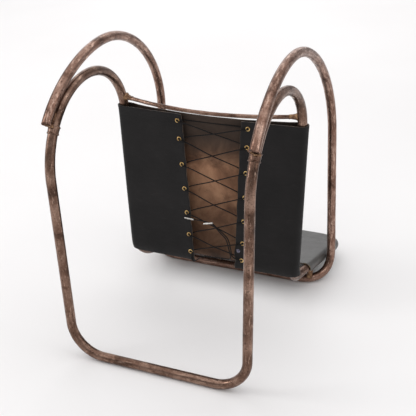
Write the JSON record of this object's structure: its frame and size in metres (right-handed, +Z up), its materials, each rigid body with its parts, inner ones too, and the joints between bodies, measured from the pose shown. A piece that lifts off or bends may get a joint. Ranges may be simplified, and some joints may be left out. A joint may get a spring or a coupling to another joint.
{
  "type": "magazine rack",
  "caption": "Free-standing magazine rack: bent copper tube loops with arched sides, a laced black leather back and a low leather seat.",
  "frame": {"origin": "on the floor, under the middle of the overall outline", "axes": "+Z up; -Y is the open front, towards the low seat; +Y is the rear, towards the laced side of the back; +X is the right side seen from the front"},
  "size_m": [0.3526, 0.4586, 0.4645],
  "materials": {
    "copper": "patinated copper tube, dark brown with worn bright spots",
    "braze": "rough brazed joints",
    "leather": "matt black saddle leather, brown flesh side",
    "eyelet": "polished brass",
    "lace": "waxed black cord",
    "lace_tip": "bright metal",
    "stud": "gloss black"
  },
  "bodies": {
    "root": {"rear_leg_loop": "copper", "left_inner_arch": "copper", "right_inner_arch": "copper", "left_outer_arch": "copper", "right_outer_arch": "copper", "front_floor_bar": "copper", "seat_front_bar": "copper", "left_coupling": "copper", "right_coupling": "copper", "cross_rod": "copper", "left_braze_bead": "braze", "right_braze_bead": "braze", "left_rod_braze": "braze", "right_rod_braze": "braze", "left_seat_strut": "braze", "right_seat_strut": "braze", "back_sheet": "leather", "back_left_flap": "leather", "back_right_flap": "leather", "seat_sheet": "leather", "seat_left_flap": "leather", "seat_right_flap": "leather", "seat_front_hem": "leather", "back_eyelet_left_1": "eyelet", "back_eyelet_left_2": "eyelet", "back_eyelet_left_3": "eyelet", "back_eyelet_left_4": "eyelet", "back_eyelet_left_5": "eyelet", "back_eyelet_left_6": "eyelet", "back_eyelet_left_7": "eyelet", "back_eyelet_right_1": "eyelet", "back_eyelet_right_2": "eyelet", "back_eyelet_right_3": "eyelet", "back_eyelet_right_4": "eyelet", "back_eyelet_right_5": "eyelet", "back_eyelet_right_6": "eyelet", "back_eyelet_right_7": "eyelet", "seat_eyelet_left_1": "eyelet", "seat_eyelet_left_2": "eyelet", "seat_eyelet_left_3": "eyelet", "seat_eyelet_left_4": "eyelet", "seat_eyelet_right_1": "eyelet", "seat_eyelet_right_2": "eyelet", "seat_eyelet_right_3": "eyelet", "seat_eyelet_right_4": "eyelet", "back_lace": "lace", "seat_lace": "lace", "lace_tip_long": "lace_tip", "lace_tip_short": "lace_tip", "flap_stud": "stud"}
  },
  "joints": []
}
